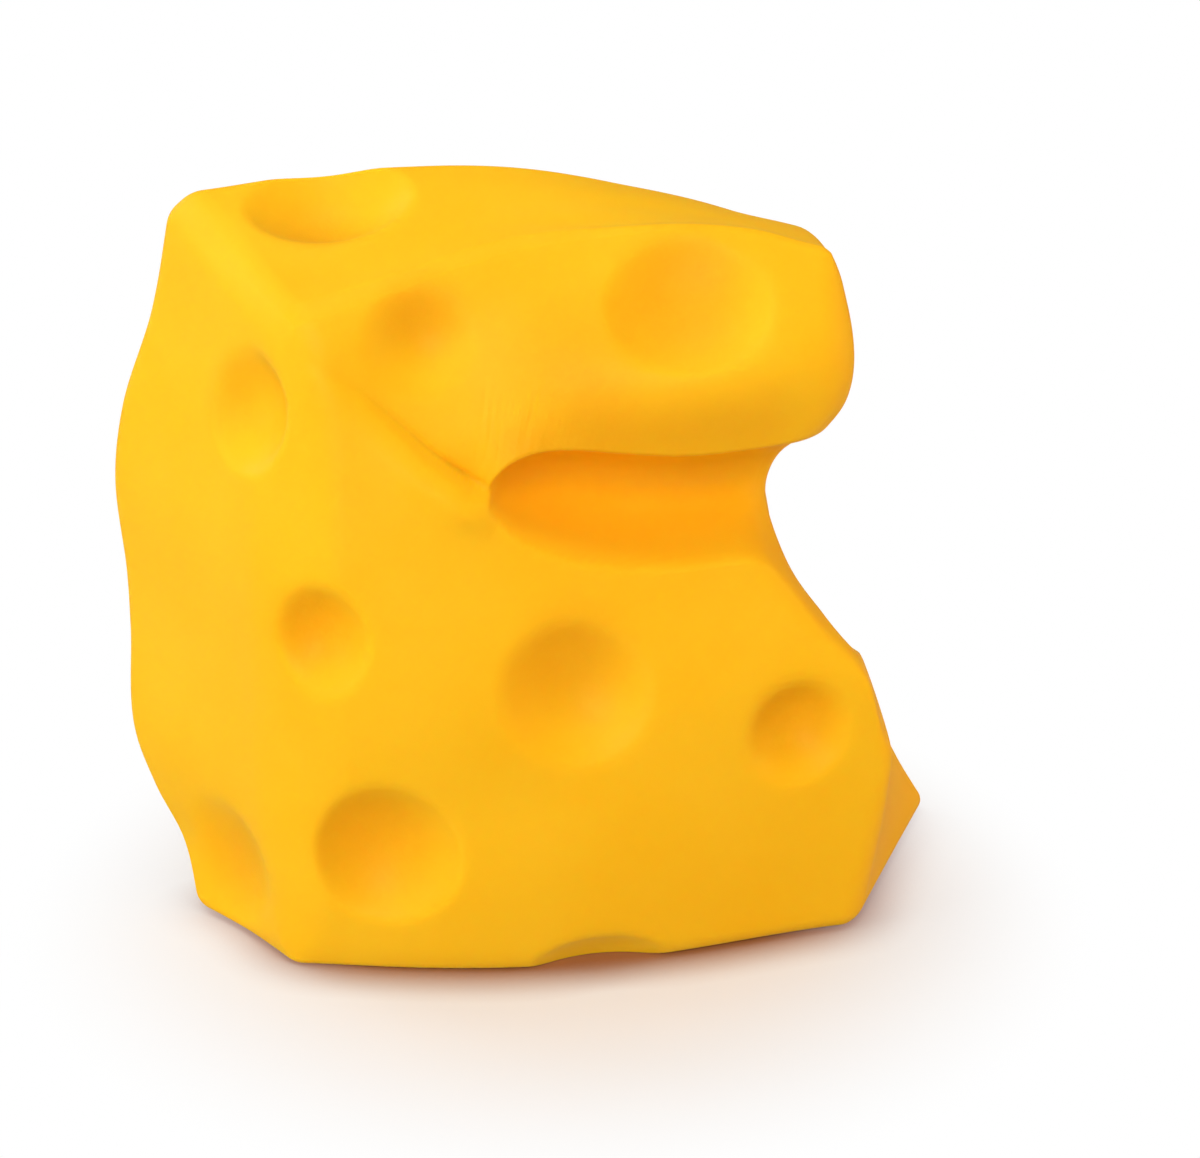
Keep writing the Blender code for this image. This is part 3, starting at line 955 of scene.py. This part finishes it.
@dataclass(frozen=True)
class Studio:
    """White table, white surround and soft lamps.

    The table is white card.  The camera sees it lifted a little, warm and dim with a painted shadow
    in the narrow gap under the toy, and plain white from clean_to outwards, where it runs into the
    surround.
    """

    lamps: tuple[Softbox, ...] = (
        Softbox("overhead_softbox", (-0.2, 0.0, 1.1), 0.6, 3.0),
        Softbox("front_softbox", (-0.3, -1.1, 0.75), 0.55, 10.2),
        Softbox("left_softbox", (-1.1, -0.2, 0.5), 0.6, 3.6),
        Softbox("warm_bounce", (0.9, -0.05, 0.2), 0.5, 3.2, "#ffc895"),
        Softbox("rim_softbox", (-0.8, 0.8, 0.55), 0.5, 2.6),
    )
    surround: float = 0.3
    surround_tint: str = "#ffdfbc"
    card: float = 0.58
    table_lift: float = 0.23
    # Painted contact shadow, for the camera only: its colour, the reach of the occlusion that places
    # it, the occlusion at which it is full and at which it is gone, and the samples taken.
    contact_shadow: str = "#a4744e"
    contact_reach: float = 0.011
    contact_closed: float = 0.35
    contact_open: float = 0.95
    contact_samples: int = 8
    clean_from: float = 0.04
    clean_to: float = 0.105
    table_size: float = 8.0

    def white_card(self) -> bpy.types.Material:
        """Make the table's card.

        Returns:
            The material.
        """
        material, tree = new_material("white_card")
        ray = add_node(tree, "ShaderNodeLightPath")
        # Painted contact shadow: where the toy is close, the camera sees the card darkened towards
        # the shadow colour, and its lift taken away.
        gap = add_node(tree, "ShaderNodeAmbientOcclusion", {"samples": self.contact_samples},
                       {"Distance": self.contact_reach})
        open_share = add_node(tree, "ShaderNodeMapRange", None,
                              {"Value": gap.outputs["AO"], "From Min": self.contact_closed,
                               "From Max": self.contact_open})
        closed = add_node(tree, "ShaderNodeMath", {"operation": "SUBTRACT"},
                          {0: 1.0, 1: open_share.outputs["Result"]})
        dim = add_node(tree, "ShaderNodeMath", {"operation": "MULTIPLY"},
                       {0: closed.outputs[0], 1: ray.outputs["Is Camera Ray"]})
        tint = add_node(tree, "ShaderNodeMix", {"data_type": "RGBA"},
                        {"Factor": dim.outputs[0], 6: (self.card, self.card, self.card, 1.0),
                         7: linear_colour(self.contact_shadow)})
        card = add_node(tree, "ShaderNodeBsdfDiffuse", None, {"Color": tint.outputs[2]})
        lift = add_node(tree, "ShaderNodeMath", {"operation": "MULTIPLY"},
                        {0: ray.outputs["Is Camera Ray"], 1: self.table_lift})
        clear_lift = add_node(tree, "ShaderNodeMath", {"operation": "MULTIPLY"},
                              {0: lift.outputs[0], 1: open_share.outputs["Result"]})
        glow = add_node(tree, "ShaderNodeEmission", None,
                        {"Color": WHITE, "Strength": clear_lift.outputs[0]})
        near = add_node(tree, "ShaderNodeAddShader", None,
                        {0: card.outputs[0], 1: glow.outputs[0]})
        place = add_node(tree, "ShaderNodeTexCoord")
        away = add_node(tree, "ShaderNodeVectorMath", {"operation": "LENGTH"},
                        {0: place.outputs["Object"]})
        swept = add_node(tree, "ShaderNodeMapRange", {"interpolation_type": "SMOOTHSTEP"},
                         {"Value": away.outputs["Value"], "From Min": self.clean_from,
                          "From Max": self.clean_to})
        far = add_node(tree, "ShaderNodeMath", {"operation": "MULTIPLY"},
                       {0: swept.outputs["Result"], 1: ray.outputs["Is Camera Ray"]})
        clean = add_node(tree, "ShaderNodeEmission", None, {"Color": WHITE, "Strength": 1.0})
        both = add_node(tree, "ShaderNodeMixShader", None,
                        {0: far.outputs[0], 1: near.outputs[0], 2: clean.outputs[0]})
        add_node(tree, "ShaderNodeOutputMaterial", None, {"Surface": both.outputs[0]})
        return material

    def table(self) -> None:
        """Lay the table top."""
        deselect_all()
        bpy.ops.mesh.primitive_plane_add(size=self.table_size, location=(0, 0, 0))
        top = bpy.context.active_object
        top.name = top.data.name = "table_top"
        top.data.materials.append(self.white_card())

    def world(self) -> None:
        """Surround the table: white where the camera sees it, a dim warm light on the toy."""
        world = bpy.data.worlds.new("white_surround")
        world.use_nodes = True
        tree = world.node_tree
        tree.nodes.clear()
        ray = add_node(tree, "ShaderNodeLightPath")
        seen = add_node(tree, "ShaderNodeMath", {"operation": "MAXIMUM"},
                        {0: ray.outputs["Is Camera Ray"], 1: ray.outputs["Is Transmission Ray"]})
        strength = add_node(tree, "ShaderNodeMix", {"data_type": "FLOAT"},
                            {"Factor": seen.outputs[0], 2: self.surround, 3: 1.0})
        tint = add_node(tree, "ShaderNodeMix", {"data_type": "RGBA"},
                        {"Factor": seen.outputs[0], 6: linear_colour(self.surround_tint), 7: WHITE})
        light = add_node(tree, "ShaderNodeBackground", None,
                         {"Color": tint.outputs[2], "Strength": strength.outputs[0]})
        add_node(tree, "ShaderNodeOutputWorld", None, {"Surface": light.outputs[0]})
        bpy.context.scene.world = world

    def build(self) -> None:
        """Set the whole studio."""
        self.table()
        self.world()
        for lamp in self.lamps:
            lamp.build()
        bpy.context.scene.view_settings.view_transform = "Standard"


def dress_node(name: str, finish: Finish) -> None:
    """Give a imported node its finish.

    Args:
        name: node name in the frame.
        finish: what it is made of.
    """
    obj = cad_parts[name]
    obj.data.materials.clear()
    obj.data.materials.append(finish.value.build())
    log.info("%s: dressed as %s", name, finish.value.name)


def main() -> None:
    """Build the camera, the toy and the studio in order."""
    logging.basicConfig(level=logging.INFO, format="%(name)s %(message)s")
    Camera().build()
    skin = Skin()
    skin.make()
    skin.dress(Finish.SKIN)
    dress_node("maltose_filling", Finish.SYRUP)
    dress_node("fill_stopper", Finish.STOPPER)
    dress_node("stopper_seal", Finish.SEAL)
    Studio().build()


if __name__ == "__main__":
    main()
